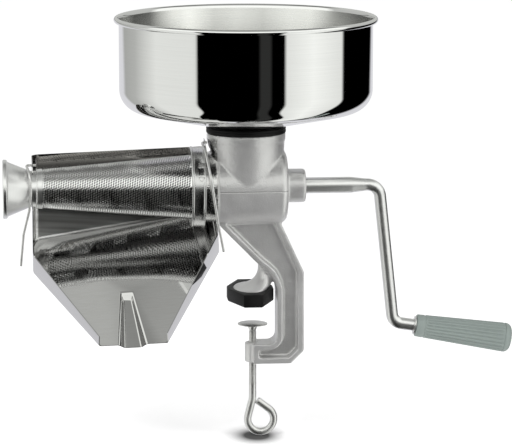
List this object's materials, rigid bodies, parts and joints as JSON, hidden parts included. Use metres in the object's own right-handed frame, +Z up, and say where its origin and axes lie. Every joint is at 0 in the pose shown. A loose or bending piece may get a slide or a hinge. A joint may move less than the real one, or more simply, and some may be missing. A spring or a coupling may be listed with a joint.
{
  "type": "tomato strainer",
  "caption": "Hand-cranked tomato strainer: round hopper on a cast body, auger in a perforated cone, juice chute, waste funnel, bent crank with ribbed grip, and screw clamp for a table edge.",
  "frame": {"origin": "middle of the clamp pad's underside, which rests on the table top", "axes": "+Z up, +X along the auger from the waste funnel towards the crank, +Y to the back, away from the juice chute's lip"},
  "size_m": [0.5118, 0.2616, 0.4253],
  "materials": {
    "stainless": "polished",
    "perforated_steel": "perforated sheet",
    "cast_aluminium": "satin",
    "bright_steel": "polished",
    "zinc_steel": "bright zinc",
    "black_rubber": "matte",
    "auger_plastic": "satin",
    "bearing_plastic": "satin",
    "grip_plastic": "satin"
  },
  "bodies": {
    "base": {"hopper": "stainless", "hopper_gasket": "black_rubber", "body_casting": "cast_aluminium", "bayonet_pins": "zinc_steel", "bearing_bush": "bearing_plastic", "thrust_washer": "bearing_plastic", "shaft_seal": "black_rubber", "strainer_cone": "perforated_steel", "cone_end_band": "stainless", "cone_seal": "black_rubber", "waste_funnel": "stainless", "juice_chute": "stainless", "clamp_pad": "black_rubber"},
    "crank": {"crank_rod": "bright_steel", "auger": "auger_plastic", "drive_pin": "zinc_steel", "grip_washer": "zinc_steel", "grip_retainer": "zinc_steel"},
    "grip": {"crank_grip": "grip_plastic", "grip_cap": "grip_plastic"},
    "collar": {"ring_nut": "bright_steel"},
    "left_clip": {"clip_left": "zinc_steel"},
    "right_clip": {"clip_right": "zinc_steel"},
    "disc": {"pressure_disc": "zinc_steel", "swivel_cup": "zinc_steel"},
    "screw": {"clamp_screw": "zinc_steel"}
  },
  "joints": [
    {"name": "crank_turn", "type": "hinge", "parent": "base", "child": "crank", "pos_m": [-0.004, 0, 0.1155], "axis": [1, 0, 0], "continuous": true},
    {"name": "grip_spin", "type": "hinge", "parent": "crank", "child": "grip", "pos_m": [0.1446, 0, -0.0255], "axis": [0.9882, 0, -0.1532], "continuous": true},
    {"name": "collar_turn", "type": "hinge", "parent": "base", "child": "collar", "pos_m": [-0.053, 0, 0.1155], "axis": [1, 0, 0], "range_deg": [0, 19]},
    {"name": "clamp_travel", "type": "slide", "parent": "base", "child": "disc", "axis": [0, 0, 1], "range_m": [-0.0101, 0.0236]},
    {"name": "screw_turn", "type": "hinge", "parent": "disc", "child": "screw", "pos_m": [0.0025, 0, -0.08], "axis": [0, 0, 1], "range_deg": [-2880, 6760]},
    {"name": "left_clip_swing", "type": "hinge", "parent": "base", "child": "left_clip", "pos_m": [-0.217, 0.002, 0.1389], "axis": [1, 0, 0], "range_deg": [-90, 0]},
    {"name": "right_clip_swing", "type": "hinge", "parent": "base", "child": "right_clip", "pos_m": [-0.044, 0, 0.16], "axis": [1, 0, 0], "range_deg": [-50, 0]}
  ],
  "couplings": [
    {"joint": "clamp_travel", "follows": "screw_turn", "m_per_rad": 0.00019894}
  ]
}
